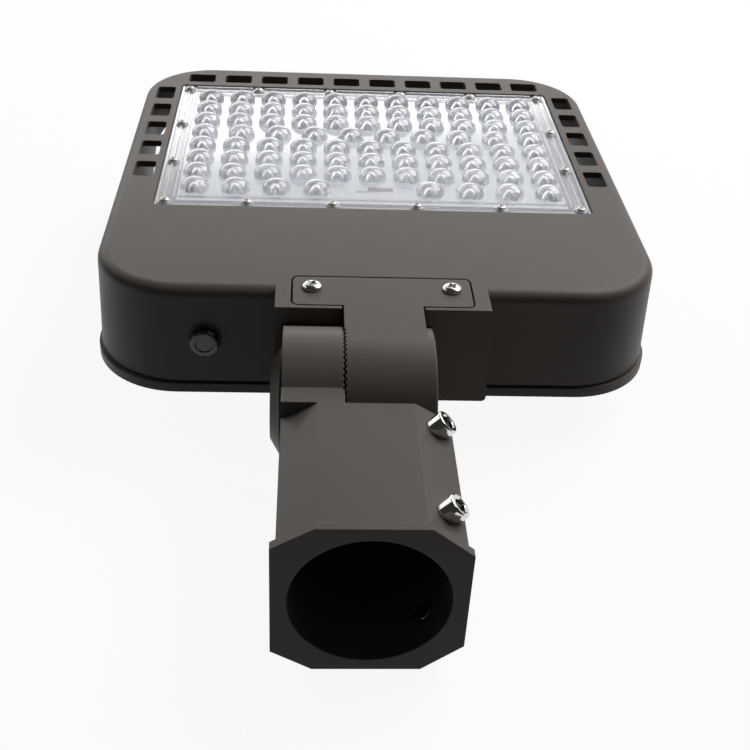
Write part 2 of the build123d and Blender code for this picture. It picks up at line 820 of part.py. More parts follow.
with BuildPart() as lead_wires:
    for side in (-1, 1):
        lead_start = (
            connector_x + connector_length / 2,
            lead_y + side * lead_pitch / 2,
            board_top_z + lead_radius,
        )
        with BuildSketch(Plane(origin=lead_start, x_dir=(0, 1, 0), z_dir=(1, 0, 0))):
            Circle(lead_radius)
        extrude(amount=lead_length)
write(lead_wires, "lead_wires")

# What the driver bay holds, all hung from its roof
with BuildPart() as driver:
    with BuildSketch(Plane.XY.offset(bay_roof_z)):
        with Locations((driver_x, driver_y)):
            Rectangle(driver_length, driver_width)
    extrude(amount=-driver_height)
    with BuildSketch(Plane.XY.offset(bay_roof_z)):
        with Locations((driver_x, driver_y)):
            Rectangle(driver_length + 2 * driver_ear, driver_width / 2)
    extrude(amount=-driver_ear_thickness)
    with BuildSketch(Plane.XY.offset(bay_roof_z)):
        with Locations(*driver_screw_places):
            Circle(driver_screw_radius + running_clearance)
    extrude(amount=-driver_ear_thickness, mode=Mode.SUBTRACT)
write(driver, "driver")

surge_x = driver_x + driver_length / 2 + driver_ear + inner_gap + surge_length / 2
with BuildPart() as surge_protector:
    with BuildSketch(Plane.XY.offset(bay_roof_z)):
        with Locations((surge_x, bay_front_y + inner_gap + surge_width / 2)):
            Rectangle(surge_length, surge_width)
    extrude(amount=-surge_height)
write(surge_protector, "surge_protector")

with BuildPart() as terminal_block:
    with BuildSketch(Plane.XY.offset(bay_roof_z)):
        with Locations((surge_x, bay_back_y - terminal_width / 2)):
            Rectangle(terminal_length, terminal_width - inner_gap)
    extrude(amount=-terminal_height)
write(terminal_block, "terminal_block")

with BuildPart() as driver_screws:
    with BuildSketch(Plane.XY.offset(bay_roof_z - driver_ear_thickness)):
        with Locations(*driver_screw_places):
            Circle(cover_screw_head_radius)
    extrude(amount=-cover_screw_head_height)
    with BuildSketch(Plane.XY.offset(bay_roof_z - driver_ear_thickness)):
        with Locations(*driver_screw_places):
            Circle(driver_screw_radius)
    extrude(amount=driver_screw_length - seat_gap)
write(driver_screws, "driver_screws")

# Rear cover: a plate with a proud edge and cooling fins, on a gasket
seam_half = head_half_width + tan(radians(wall_draft)) * wall_height
seam_length = head_length + 2 * (seam_half - head_half_width)
cover_top_z = seam_z - cover_gasket_thickness
cover_bottom_z = cover_top_z - cover_thickness
fin_height = flange_half_height + cover_bottom_z
cover_front_y = head_front_y - (seam_half - head_half_width) - cover_proud
with BuildPart() as cover_gasket:
    with BuildSketch(Plane.XY.offset(seam_z)):
        with Locations((head_centre_x, head_mid_y)):
            RectangleRounded(
                2 * (seam_half - gasket_setback),
                seam_length - 2 * gasket_setback,
                head_corner,
            )
        with Locations((head_centre_x, slope_y - gasket_setback)):
            Rectangle(4 * head_half_width, head_length, align=(Align.CENTER, Align.MIN), mode=Mode.SUBTRACT)
        offset(amount=-cover_gasket_width, mode=Mode.SUBTRACT)
    extrude(amount=-cover_gasket_thickness)
write(cover_gasket, "cover_gasket")

with BuildPart() as rear_cover:
    with BuildSketch(Plane.XY.offset(cover_top_z)):
        with Locations((head_centre_x, head_mid_y)):
            RectangleRounded(
                2 * (seam_half + cover_proud),
                seam_length + 2 * cover_proud,
                head_corner + cover_proud,
            )
        with Locations((head_centre_x, slope_y)):
            Rectangle(4 * head_half_width, head_length, align=(Align.CENTER, Align.MIN), mode=Mode.SUBTRACT)
    extrude(amount=-cover_thickness)
    with BuildSketch(Plane.XY.offset(cover_bottom_z)):
        with Locations((head_centre_x, cover_front_y + fin_start + fin_run / 2)):
            with GridLocations(fin_pitch, 0, fin_count, 1):
                Rectangle(fin_thickness, fin_run)
    extrude(amount=-fin_height)
    with BuildSketch(Plane.XY.offset(cover_top_z)):
        with Locations(*cover_screw_places):
            Circle(cover_screw_radius + running_clearance)
    extrude(amount=-cover_thickness, mode=Mode.SUBTRACT)
write(rear_cover, "rear_cover")

with BuildPart() as cover_screws:
    with BuildSketch(Plane.XY.offset(cover_bottom_z)):
        with Locations(*cover_screw_places):
            Circle(cover_screw_head_radius)
    extrude(amount=-cover_screw_head_height)
    with BuildSketch(Plane.XY.offset(cover_bottom_z)):
        with Locations(*cover_screw_places):
            Circle(cover_screw_radius)
    extrude(amount=seam_z - cover_bottom_z + cover_screw_length - seat_gap)
write(cover_screws, "cover_screws")

# Breather plug with its sealing washer
with BuildPart() as plug_washer:
    with BuildSketch(across(plug_face_y)):
        with Locations((plug_x, plug_z)):
            Circle(plug_radius)
            Circle(plug_stem_radius + running_clearance, mode=Mode.SUBTRACT)
    extrude(amount=plug_washer_thickness)
write(plug_washer, "plug_washer")

with BuildPart() as breather_plug:
    with BuildSketch(across(plug_face_y - plug_washer_thickness)):
        with Locations((plug_x, plug_z)):
            RegularPolygon(plug_radius, plug_facets)
    extrude(amount=plug_height)
    chamfer(breather_plug.faces().sort_by(Axis.Y)[0].edges(), plug_edge)
    with BuildSketch(across(plug_face_y - plug_washer_thickness)):
        with Locations((plug_x, plug_z)):
            Circle(plug_stem_radius)
    extrude(amount=-(plug_washer_thickness + plug_stem_length))
write(breather_plug, "breather_plug")
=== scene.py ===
import math

import bmesh
import bpy
from mathutils import Matrix, Vector


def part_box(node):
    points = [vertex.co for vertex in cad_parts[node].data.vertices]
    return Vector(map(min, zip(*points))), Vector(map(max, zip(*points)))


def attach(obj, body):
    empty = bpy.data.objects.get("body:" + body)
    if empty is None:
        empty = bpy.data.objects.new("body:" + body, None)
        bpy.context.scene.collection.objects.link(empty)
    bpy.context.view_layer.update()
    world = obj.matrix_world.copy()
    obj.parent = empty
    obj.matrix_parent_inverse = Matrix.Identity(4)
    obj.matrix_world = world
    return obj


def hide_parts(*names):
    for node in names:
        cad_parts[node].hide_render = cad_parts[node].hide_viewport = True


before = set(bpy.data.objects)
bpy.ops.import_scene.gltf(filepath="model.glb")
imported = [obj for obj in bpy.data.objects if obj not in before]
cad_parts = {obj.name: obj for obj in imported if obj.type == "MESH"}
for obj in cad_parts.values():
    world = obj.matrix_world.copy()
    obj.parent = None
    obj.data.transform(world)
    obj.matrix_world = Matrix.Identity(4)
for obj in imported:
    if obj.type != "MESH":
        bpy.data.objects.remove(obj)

bl_info = {
    "name": "Area light dressing",
    "version": (1, 0, 0),
    "blender": (4, 5, 0),
    "location": "3D View > Sidebar > Area Light",
    "description": "Lenses, screws, finishes, lamps and camera for the packed LED area light",
    "category": "Object",
}

MM = 0.001

# Places that the castings give, in millimetres
HEAD_CENTRE_X = 9.7
FACE_Z = 44.6
WINDOW_HALF = 117.0
WINDOW_NEAR_Y = 241.2
WINDOW_FAR_Y = 409.6
PLATE_GAP = 0.8
PLATE_TOP_Z = 43.3
PLATE_BOTTOM_Z = 40.3
BOARD_TOP_Z = 39.2
FLOOR_Z = -37.5
ROW_COUNTS = (8, 11, 11, 11, 10, 11, 11, 11)
ROW_PITCH = 17.8
FIRST_ROW_Y = 265.0
SPAN_HALF = 97.0
NEAR_ROW_START = 31.0
NEAR_ROW_PITCH = 22.0
SCREW_INSET = 5.6
SCREW_NEAR_X = 22.6
SCREW_FAR_X = 68.0
SCREW_SIDE_Y = 26.4
SCREW_SIDE_SHIFT = 2.4
ARM_SCREW_X = 33.1
ARM_SCREW_Y = 159.4
COVER_UNDER_Z = -12.7
COVER_SCREW_ROWS = ((165.0, (50.0, 104.0)), (237.3, (97.5,)), (362.3, (37.5, 97.5)))
PLUG_X = -74.2
PLUG_Z = 17.1
SET_SCREWS = {
    "set_screw_front_upper": (18.2, 1),
    "set_screw_rear_upper": (70.5, 1),
    "set_screw_front_lower": (18.2, -1),
    "set_screw_rear_lower": (70.5, -1),
}
SET_SCREW_TIP = 32.6


def linear(code):
    """A six-digit sRGB hex colour as linear red, green, blue and alpha."""
    shares = [int(code[i:i + 2], 16) / 255 for i in (1, 3, 5)]
    return [s / 12.92 if s <= 0.04045 else ((s + 0.055) / 1.055) ** 2.4 for s in shares] + [1.0]


def colour_setting(name, description, code):
    return bpy.props.FloatVectorProperty(
        name=name, description=description, subtype="COLOR", size=4, min=0, max=1, default=linear(code)
    )


def length_setting(name, description, millimetres):
    return bpy.props.FloatProperty(
        name=name, description=description, unit="LENGTH", subtype="DISTANCE", min=0, default=millimetres * MM
    )


class CastingSettings(bpy.types.PropertyGroup):
    """Powder coat on the die castings"""

    paint: colour_setting("Paint", "Colour of the coat on the head, arm and fitter", "#69625c")
    # The cap's colour is the bronze coat darkened: painted shade for a cap that sits in shadow
    cap_paint_and_shade: colour_setting("Cap paint", "Colour of the coat on the knuckle's round cap", "#35322f")
    pebble: length_setting("Pebble", "Width of one pebble of the coat's texture", 0.9)
    edge: length_setting("Edge round", "Radius that the casting's edges shade with", 0.7)


class LensSettings(bpy.types.PropertyGroup):
    """Clear lens sheet, its diodes and their board"""

    dome_width: length_setting("Dome width", "Width of one lens at its foot", 15.8)
    dome_height: length_setting("Dome height", "Height of one lens over the sheet", 6.0)
    well_width: length_setting("Well width", "Width of the hollow over each diode", 6.4)
    clear: colour_setting("Clear tint", "Tint of the clear polycarbonate", "#fafbfd")
    board: colour_setting("Board", "Colour of the solder mask", "#f3f4f7")
    phosphor: colour_setting("Phosphor", "Colour of the diodes' phosphor", "#e6d44a")


class ScrewSettings(bpy.types.PropertyGroup):
    """Screws of the light"""

    steel: colour_setting("Stainless", "Colour of the stainless screws", "#d6d3cd")
    plating: colour_setting("Plating", "Colour of the plated set screws", "#dedbd6")
    thread_pitch: length_setting("Thread pitch", "Rise of the set screws' thread in one turn", 1.5)
    recess_depth: length_setting("Recess depth", "Depth of the cross recess in the arm's screws", 1.7)


class StageSettings(bpy.types.PropertyGroup):
    """Floor, lamps and camera"""

    floor: colour_setting("Floor", "Colour of the floor", "#f4f4f4")
    focal: bpy.props.FloatProperty(
        name="Focal length", description="Lens of the camera in millimetres", min=1, default=56.32
    )
    camera_place: bpy.props.FloatVectorProperty(
        name="Camera place",
        description="Where the camera stands",
        subtype="TRANSLATION",
        unit="LENGTH",
        default=(-0.02601, -0.31693, 0.32807),
    )
    pan: bpy.props.FloatProperty(
        name="Pan", description="Turn of the camera to the right", subtype="ANGLE", default=math.radians(4.15)
    )
    tilt: bpy.props.FloatProperty(
        name="Tilt",
        description="Tilt of the camera from level",
        subtype="ANGLE",
        default=math.radians(-34.91),
    )
    roll: bpy.props.FloatProperty(
        name="Roll", description="Roll of the camera", subtype="ANGLE", default=math.radians(3.24)
    )


def add(tree, kind, settings=(), links=()):
    """One node: capitalised names and numbers set its sockets, the others its properties."""
    made = tree.nodes.new(kind)
    for key, value in dict(settings).items():
        if isinstance(key, str) and not key[0].isupper():
            setattr(made, key, value)
    for key, value in dict(settings).items():
        if isinstance(key, int) or key[0].isupper():
            made.inputs[key].default_value = value
    for key, socket in dict(links).items():
        tree.links.new(socket, made.inputs[key])
    return made


def start(name, settings):
    """A new material with its node tree and its Principled shader set to these values."""
    material = bpy.data.materials.new(name)
    material.use_nodes = True
    tree = material.node_tree
    shader = tree.nodes["Principled BSDF"]
    for key, value in settings.items():
        shader.inputs[key].default_value = value
    return material, tree, shader


def shade(colour, share):
    return [min(1.0, part * share) for part in colour[:3]] + [1.0]


def powder_coat(name, colour, pebble, edge):
    """Polyester powder coat, sprayed and baked on die-cast aluminium: a dense satin skin with a
    faint orange peel, thinner on the edges and painted lighter there as an edge highlight, with clouds of
    fine dust."""
    material, tree, shader = start(name, {"Roughness": 0.45, "Specular IOR Level": 0.2})
    place = add(tree, "ShaderNodeTexCoord").outputs["Object"]
    # Clouds 45 mm wide, where the coat lies thicker or holds dust
    clouds = add(tree, "ShaderNodeTexNoise", {"Scale": 1 / 0.045, "Detail": 4}, {"Vector": place})
    tone = add(
        tree,
        "ShaderNodeMix",
        {"data_type": "RGBA", 6: shade(colour, 0.9), 7: shade(colour, 1.1)},
        {"Factor": clouds.outputs["Fac"]},
    )
    round_edge = add(tree, "ShaderNodeBevel", {"samples": 4, "Radius": edge})
    flat = add(tree, "ShaderNodeNewGeometry")
    turn = add(
        tree,
        "ShaderNodeVectorMath",
        {"operation": "DOT_PRODUCT"},
        {0: round_edge.outputs["Normal"], 1: flat.outputs["Normal"]},
    )
    # Painted edge highlight: the colour turns lighter where the rounded edge's normal leaves the flat one,
    # partly for the thinner coat there and partly as painted light
    thin_coat_and_edge_highlight = add(
        tree,
        "ShaderNodeMapRange",
        {"From Min": 0.97, "From Max": 0.75, "To Min": 0.0, "To Max": 0.3},
        {"Value": turn.outputs["Value"]},
    )
    tone_with_edge_highlight = add(
        tree,
        "ShaderNodeMix",
        {"data_type": "RGBA", 7: shade(colour, 1.7)},
        {"Factor": thin_coat_and_edge_highlight.outputs["Result"], 6: tone.outputs[2]},
    )
    sheen = add(
        tree,
        "ShaderNodeMapRange",
        {"To Min": 0.38, "To Max": 0.52},
        {"Value": clouds.outputs["Fac"]},
    )
    pebbles = add(tree, "ShaderNodeTexNoise", {"Scale": 1 / pebble, "Detail": 2}, {"Vector": place})
    skin = add(
        tree,
        "ShaderNodeBump",
        {"Strength": 0.25, "Distance": 0.04 * MM},
        {"Height": pebbles.outputs["Fac"], "Normal": round_edge.outputs["Normal"]},
    )
    tree.links.new(tone_with_edge_highlight.outputs[2], shader.inputs["Base Color"])
    tree.links.new(sheen.outputs["Result"], shader.inputs["Roughness"])
    tree.links.new(skin.outputs["Normal"], shader.inputs["Normal"])
    return material


def clear_polycarbonate(colour):
    """Clear polycarbonate, injection moulded and polished: bends what lies under it, with bright
    rims. Light reaches the board through it, as it does through the real sheet."""
    material, tree, shader = start(
        "clear_moulded_polycarbonate",
        {"Base Color": colour, "Transmission Weight": 0.78, "Roughness": 0.09, "IOR": 1.585},
    )
    place = add(tree, "ShaderNodeTexCoord").outputs["Object"]
    # Flow lines 12 mm wide from the mould, just enough to break the reflections
    flow = add(tree, "ShaderNodeTexNoise", {"Scale": 1 / 0.012, "Detail": 1}, {"Vector": place})
    skin = add(
        tree,
        "ShaderNodeBump",
        {"Strength": 0.1, "Distance": 0.1 * MM},
        {"Height": flow.outputs["Fac"]},
    )
    tree.links.new(skin.outputs["Normal"], shader.inputs["Normal"])
    path = add(tree, "ShaderNodeLightPath")
    passing = add(
        tree,
        "ShaderNodeMath",
        {"operation": "MAXIMUM"},
        {0: path.outputs["Is Shadow Ray"], 1: path.outputs["Is Diffuse Ray"]},
    )
    open_way = add(tree, "ShaderNodeBsdfTransparent", {"Color": shade(colour, 0.97)})
    mixed = add(
        tree,
        "ShaderNodeMixShader",
        {},
        {0: passing.outputs[0], 1: shader.outputs[0], 2: open_way.outputs[0]},
    )
    tree.links.new(mixed.outputs[0], tree.nodes["Material Output"].inputs["Surface"])
    return material


def grained(name, colour, settings, width, depth, spread=0.1):
    """A moulded, rubbed or painted surface with grain of one width, which moves its tone a little."""
    material, tree, shader = start(name, settings)
    place = add(tree, "ShaderNodeTexCoord").outputs["Object"]
    grain = add(tree, "ShaderNodeTexNoise", {"Scale": 1 / (width * MM), "Detail": 3}, {"Vector": place})
    tone = add(
        tree,
        "ShaderNodeMix",
        {"data_type": "RGBA", 6: shade(colour, 1 - spread), 7: shade(colour, 1 + spread)},
        {"Factor": grain.outputs["Fac"]},
    )
    skin = add(
        tree,
        "ShaderNodeBump",
        {"Strength": 0.3, "Distance": depth * MM},
        {"Height": grain.outputs["Fac"]},
    )
    tree.links.new(tone.outputs[2], shader.inputs["Base Color"])
    tree.links.new(skin.outputs["Normal"], shader.inputs["Normal"])
    return material


def metal(name, colour, roughness, scratch_width, edge):
    """A bright metal with fine marks from handling, and rounded edges that catch the light."""
    material, tree, shader = start(name, {"Metallic": 1.0, "Roughness": roughness})
    place = add(tree, "ShaderNodeTexCoord").outputs["Object"]
    fineness = 1 / (scratch_width * MM)
    marks = add(tree, "ShaderNodeTexNoise", {"Scale": fineness, "Detail": 4}, {"Vector": place})
    tone = add(
        tree,
        "ShaderNodeMix",
        {"data_type": "RGBA", 6: shade(colour, 0.85), 7: shade(colour, 1.05)},
        {"Factor": marks.outputs["Fac"]},
    )
    gloss = add(
        tree,
        "ShaderNodeMapRange",
        {"To Min": roughness * 0.6, "To Max": roughness * 1.5},
        {"Value": marks.outputs["Fac"]},
    )
    round_edge = add(tree, "ShaderNodeBevel", {"samples": 4, "Radius": edge * MM})
    tree.links.new(tone.outputs[2], shader.inputs["Base Color"])
    tree.links.new(gloss.outputs["Result"], shader.inputs["Roughness"])
    tree.links.new(round_edge.outputs["Normal"], shader.inputs["Normal"])
    return material


def finish_node(name, material):
    """Gives a carried-over node its material."""
    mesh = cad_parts[name].data
    mesh.materials.clear()
    mesh.materials.append(material)


def place_piece(name, shape, materials, body, nodes):
    """Makes an object of the mesh, and lets it ride on a body in the place of these nodes."""
    mesh = bpy.data.meshes.new(name)
    bmesh.ops.recalc_face_normals(shape, faces=shape.faces)
    shape.to_mesh(mesh)
    shape.free()
    for material in materials:
        mesh.materials.append(material)
    piece = bpy.data.objects.new(name, mesh)
    bpy.context.scene.collection.objects.link(piece)
    mesh.shade_smooth()
    mesh.set_sharp_from_angle(angle=math.radians(40))
    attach(piece, body)
    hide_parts(*nodes)
    return piece


def turn(shape, profile, segments, frame_of, material=0):
    """Adds a surface turned round the local Z axis, from (radius, height) pairs in millimetres."""
    rings = []
    for radius, height in profile:
        if radius == 0:
            rings.append([shape.verts.new(frame_of @ Vector((0, 0, height)))])
            continue
        angles = [2 * math.pi * index / segments for index in range(segments)]
        rings.append([
            shape.verts.new(frame_of @ Vector((radius * math.cos(a), radius * math.sin(a), height)))
            for a in angles
        ])
    for low, high in zip(rings, rings[1:]):
        for index in range(segments):
            after = (index + 1) % segments
            if len(low) == 1:
                corners = [low[0], high[after], high[index]]
            elif len(high) == 1:
                corners = [low[index], low[after], high[0]]
            else:
                corners = [low[index], low[after], high[after], high[index]]
            shape.faces.new(corners).material_index = material
    return rings


def block(shape, low, high, frame_of, material=0):
    """Adds a closed box between two corners in millimetres."""
    size = [b - a for a, b in zip(low, high)]
    middle = [(a + b) / 2 for a, b in zip(low, high)]
    made = bmesh.ops.create_cube(shape, size=1.0)["verts"]
    for vert in made:
        spot = Vector([m + s * c for m, s, c in zip(middle, size, vert.co)])
        vert.co = frame_of @ spot
    for face in {face for vert in made for face in vert.link_faces}:
        face.material_index = material


def around(spot, radius, angle, height):
    """A point of a circle round the local Z axis of this frame."""
    return spot @ Vector((radius * math.cos(angle), radius * math.sin(angle), height))


def bridge(shape, ring, above):
    """Faces between two rings of the same count."""
    for index in range(len(ring)):
        after = (index + 1) % len(ring)
        shape.faces.new((ring[index], ring[after], above[after], above[index]))


def crown_over(shape, ring, point):
    """Faces from a ring to one point."""
    for index in range(len(ring)):
        shape.faces.new((ring[index], ring[(index + 1) % len(ring)], point))


def placing(x, y, z, turn_matrix=Matrix.Identity(4)):
    """A frame at this place in millimetres, whose local sizes are millimetres too."""
    return Matrix.Diagonal((MM, MM, MM, 1)) @ Matrix.Translation((x, y, z)) @ turn_matrix


def lens_places():
    places = []
    for row, count in enumerate(ROW_COUNTS):
        if row == 0:
            near = [NEAR_ROW_START + NEAR_ROW_PITCH * index for index in range(count // 2)]
            offsets = [-offset for offset in near] + near
        else:
            offsets = [SPAN_HALF * (2 * index / (count - 1) - 1) for index in range(count)]
        places += [(HEAD_CENTRE_X + offset, FIRST_ROW_Y + row * ROW_PITCH) for offset in offsets]
    return places


def lens_screw_places():
    places = []
    middle = (WINDOW_NEAR_Y + WINDOW_FAR_Y) / 2
    for side in (-1, 1):
        edge_y = WINDOW_NEAR_Y + SCREW_INSET if side < 0 else WINDOW_FAR_Y - SCREW_INSET
        for offset in (SCREW_NEAR_X, SCREW_FAR_X, WINDOW_HALF - SCREW_INSET):
            places.append((HEAD_CENTRE_X - offset, edge_y))
            places.append((HEAD_CENTRE_X + offset, edge_y))
        edge_x = HEAD_CENTRE_X + side * (WINDOW_HALF - SCREW_INSET)
        for offset in (-SCREW_SIDE_Y, SCREW_SIDE_Y):
            places.append((edge_x, middle - SCREW_SIDE_SHIFT + offset))
    return places


def arc_profile(radius, height, steps, bulge):
    """Half outline of a dome from its foot to its crown. A larger bulge makes fuller shoulders."""
    points = []
    for step in range(steps):
        angle = math.pi / 2 * step / steps
        points.append((radius * math.cos(angle) ** (1 / bulge), height * math.sin(angle) ** bulge))
    return points + [(0, height)]


def sheet_side(shape, outline, holes, z):
    """One flat side of the lens sheet, with round holes where domes or wells stand."""
    edges = []
    loops = []
    for points in [outline] + holes:
        verts = [shape.verts.new(Vector((x, y, z)) * MM) for x, y in points]
        loops.append(verts)
        for index, vert in enumerate(verts):
            edges.append(shape.edges.new((vert, verts[(index + 1) % len(verts)])))
    bmesh.ops.triangle_fill(shape, edges=edges, use_beauty=True)
    return loops


def ring_points(x, y, radius, segments):
    angles = [2 * math.pi * index / segments for index in range(segments)]
    return [(x + radius * math.cos(a), y + radius * math.sin(a)) for a in angles]


def domed(shape, foot, x, y, z, profile):
    """Joins a dome or a well to the loop of its foot."""
    segments = len(foot)
    ring = foot
    for radius, height in profile[1:-1]:
        above = [
            shape.verts.new(Vector((px, py, z + height)) * MM)
            for px, py in ring_points(x, y, radius, segments)
        ]
        bridge(shape, ring, above)
        ring = above
    crown_over(shape, ring, shape.verts.new(Vector((x, y, z + profile[-1][1])) * MM))


def cross_depth(x, y, radius, recess):
    """How deep a cross recess is at this place of a screw's head, in millimetres."""
    arm_reach, arm_half, slope = radius * 0.52, radius * 0.13, radius * 0.05
    deepest = 0.0
    for along, across in ((x, y), (y, x)):
        inside = min(1.0, max(0.0, (arm_half - abs(across)) / slope + 0.5))
        reach = min(1.0, max(0.0, (arm_reach - abs(along)) / (radius * 0.2)))
        deepest = max(deepest, inside * reach)
    core = min(1.0, max(0.0, (radius * 0.24 - math.hypot(x, y)) / slope))
    return recess * max(deepest, core)


def pan_head(radius, height, recess, length, shank, segments, steps):
    """One pan-head screw with a cross recess, standing on the origin with its shank downwards."""
    shape = bmesh.new()
    rim = height * 0.35
    side = [(0, -length), (shank * 0.7, -length), (shank, -length + shank * 0.4), (shank, 0)]
    side += [(radius * 0.97, 0), (radius, rim * 0.3), (radius, rim)]
    ring = turn(shape, side, segments, placing(0, 0, 0))[-1]
    for step in range(1, steps + 1):
        reach = radius * (1 - step / steps)
        crown = rim + (height - rim) * (1 - (reach / radius) ** 2.6) ** 0.62
        if reach == 0:
            crown_over(shape, ring, shape.verts.new(Vector((0, 0, crown - recess)) * MM))
            break
        inner = []
        for x, y in ring_points(0, 0, reach, segments):
            inner.append(shape.verts.new(Vector((x, y, crown - cross_depth(x, y, radius, recess))) * MM))
        bridge(shape, ring, inner)
        ring = inner
    return shape


def copies(model, frames):
    """One bmesh with the model at each of these frames, which move metres to metres."""
    mesh = bpy.data.meshes.new("copied")
    model.to_mesh(mesh)
    model.free()
    shape = bmesh.new()
    for spot in frames:
        single = bmesh.new()
        single.from_mesh(mesh)
        bmesh.ops.transform(single, matrix=spot, verts=single.verts)
        moved = bpy.data.meshes.new("moved")
        single.to_mesh(moved)
        single.free()
        shape.from_mesh(moved)
        bpy.data.meshes.remove(moved)
    bpy.data.meshes.remove(mesh)
    return shape


def settings(name):
    return getattr(bpy.context.scene, name)


def stainless():
    return bpy.data.materials.get("tumbled_stainless_steel") or metal(
        "tumbled_stainless_steel",
        settings("light_screws").steel,
        roughness=0.2,
        scratch_width=0.6,
        edge=0.15,
    )


def black_rubber():
    # EPDM rubber, pressed in a mould: dull, faintly dusty black
    return bpy.data.materials.get("moulded_epdm_rubber") or grained(
        "moulded_epdm_rubber",
        linear("#1b1b1b"),
        {"Roughness": 0.75, "IOR": 1.52},
        width=0.7,
        depth=0.05,
    )


class LIGHT_OT_camera(bpy.types.Operator):
    """Stands the camera where the photograph was taken from"""

    bl_idname = "light.camera"
    bl_label = "Camera"

    def execute(self, context):
        values = settings("light_stage")
        pan, tilt, roll = values.pan, values.tilt, values.roll
        forward = Vector((math.sin(pan) * math.cos(tilt), math.cos(pan) * math.cos(tilt), math.sin(tilt)))
        level = Vector((math.cos(pan), -math.sin(pan), 0))
        above = level.cross(forward)
        right = level * math.cos(roll) + above * math.sin(roll)
        up = above * math.cos(roll) - level * math.sin(roll)
        lens = bpy.data.cameras.new("camera")
        lens.sensor_fit = "HORIZONTAL"
        lens.sensor_width = 36
        lens.lens = values.focal
        lens.clip_start = 0.01
        lens.clip_end = 50
        camera = bpy.data.objects.new("camera", lens)
        context.scene.collection.objects.link(camera)
        facing = Matrix((right, up, -forward)).transposed().to_4x4()
        camera.matrix_world = Matrix.Translation(values.camera_place) @ facing
        context.scene.camera = camera
        return {"FINISHED"}


class LIGHT_OT_castings(bpy.types.Operator):
    """Powder coats the head, its rear cover, the arm, the slip fitter and the round cap"""

    bl_idname = "light.castings"
    bl_label = "Castings"

    def execute(self, context):
        values = settings("light_castings")
        coat = powder_coat("bronze_powder_coat", values.paint, values.pebble, values.edge)
        for name in ("housing", "rear_cover", "arm_bracket", "slip_fitter"):
            finish_node(name, coat)
        # The cap's coat is a darker copy of the bronze coat: painted shade for a cap that sits in shadow
        cap = powder_coat("cap_coat_with_painted_shade", values.cap_paint_and_shade, values.pebble, values.edge)
        finish_node("knuckle_cap", cap)
        return {"FINISHED"}


class LIGHT_OT_lens_sheet(bpy.types.Operator):
    """Moulds the clear sheet with its domed lenses, ribs and screw bosses"""

    bl_idname = "light.lens_sheet"
    bl_label = "Lens sheet"

    def execute(self, context):
        values = settings("light_lenses")
        clear = clear_polycarbonate(values.clear)
        shape = bmesh.new()
        half = WINDOW_HALF - PLATE_GAP
        near, far = WINDOW_NEAR_Y + PLATE_GAP, WINDOW_FAR_Y - PLATE_GAP
        corner = 2.2
        outline = []
        for corner_x, corner_y, first in ((1, 1, 0), (-1, 1, 1), (-1, -1, 2), (1, -1, 3)):
            centre_x = HEAD_CENTRE_X + corner_x * (half - corner)
            centre_y = far - corner if corner_y > 0 else near + corner
            for step in range(5):
                angle = math.pi / 2 * (first + step / 4)
                outline.append((centre_x + corner * math.cos(angle), centre_y + corner * math.sin(angle)))
        places = lens_places()
        radius = values.dome_width / MM / 2
        height = values.dome_height / MM
        well = values.well_width / MM / 2
        tops = sheet_side(shape, outline, [ring_points(x, y, radius, 32) for x, y in places], PLATE_TOP_Z)
        unders = sheet_side(shape, outline, [ring_points(x, y, well, 20) for x, y in places], PLATE_BOTTOM_Z)
        for index in range(len(outline)):
            after = (index + 1) % len(outline)
            shape.faces.new((unders[0][index], unders[0][after], tops[0][after], tops[0][index]))
        for (x, y), foot, under in zip(places, tops[1:], unders[1:]):
            domed(shape, foot, x, y, PLATE_TOP_Z, arc_profile(radius, height, 9, 0.9))
            domed(shape, under, x, y, PLATE_BOTTOM_Z, arc_profile(well, 4.2, 5, 1.0))
        self.ribs(shape, half, near, far)
        place_piece("lens_sheet", shape, [clear], "head", ["lens_plate"])
        return {"FINISHED"}

    def ribs(self, shape, half, near, far):
        """Ribs along the edges, which stop at the screw bosses, and the bosses themselves"""
        spot = placing(0, 0, 0)
        low, high = PLATE_TOP_Z - 0.05, PLATE_TOP_Z + 0.8
        bosses = lens_screw_places()
        for inset, width in ((0.0, 1.4), (4.0, 0.9), (8.6, 0.9), (11.5, 1.3)):
            for side in (-1, 1):
                x = HEAD_CENTRE_X + side * (half - inset - width / 2)
                block(shape, (x - width / 2, near + inset, low), (x + width / 2, far - inset, high), spot)
        for inset, width in ((0.0, 1.4), (5.2, 0.9), (10.6, 1.3)):
            for y in (near + inset + width / 2, far - inset - width / 2):
                crossed = sorted(bx for bx, by in bosses if abs(by - y) < 4.2)
                stops = [HEAD_CENTRE_X - half + inset + 1] + crossed + [HEAD_CENTRE_X + half - inset - 1]
                for left, right in zip(stops, stops[1:]):
                    left = left + (3.9 if left in crossed else 0)
                    right = right - (3.9 if right in crossed else 0)
                    if right - left > 1:
                        block(shape, (left, y - width / 2, low), (right, y + width / 2, high), spot)
        for x, y in bosses:
            profile = [(1.7, -0.05), (3.6, -0.05), (3.5, 0.8), (3.2, 1.0), (1.7, 1.0), (1.7, -0.05)]
            turn(shape, profile, 24, placing(x, y, PLATE_TOP_Z))


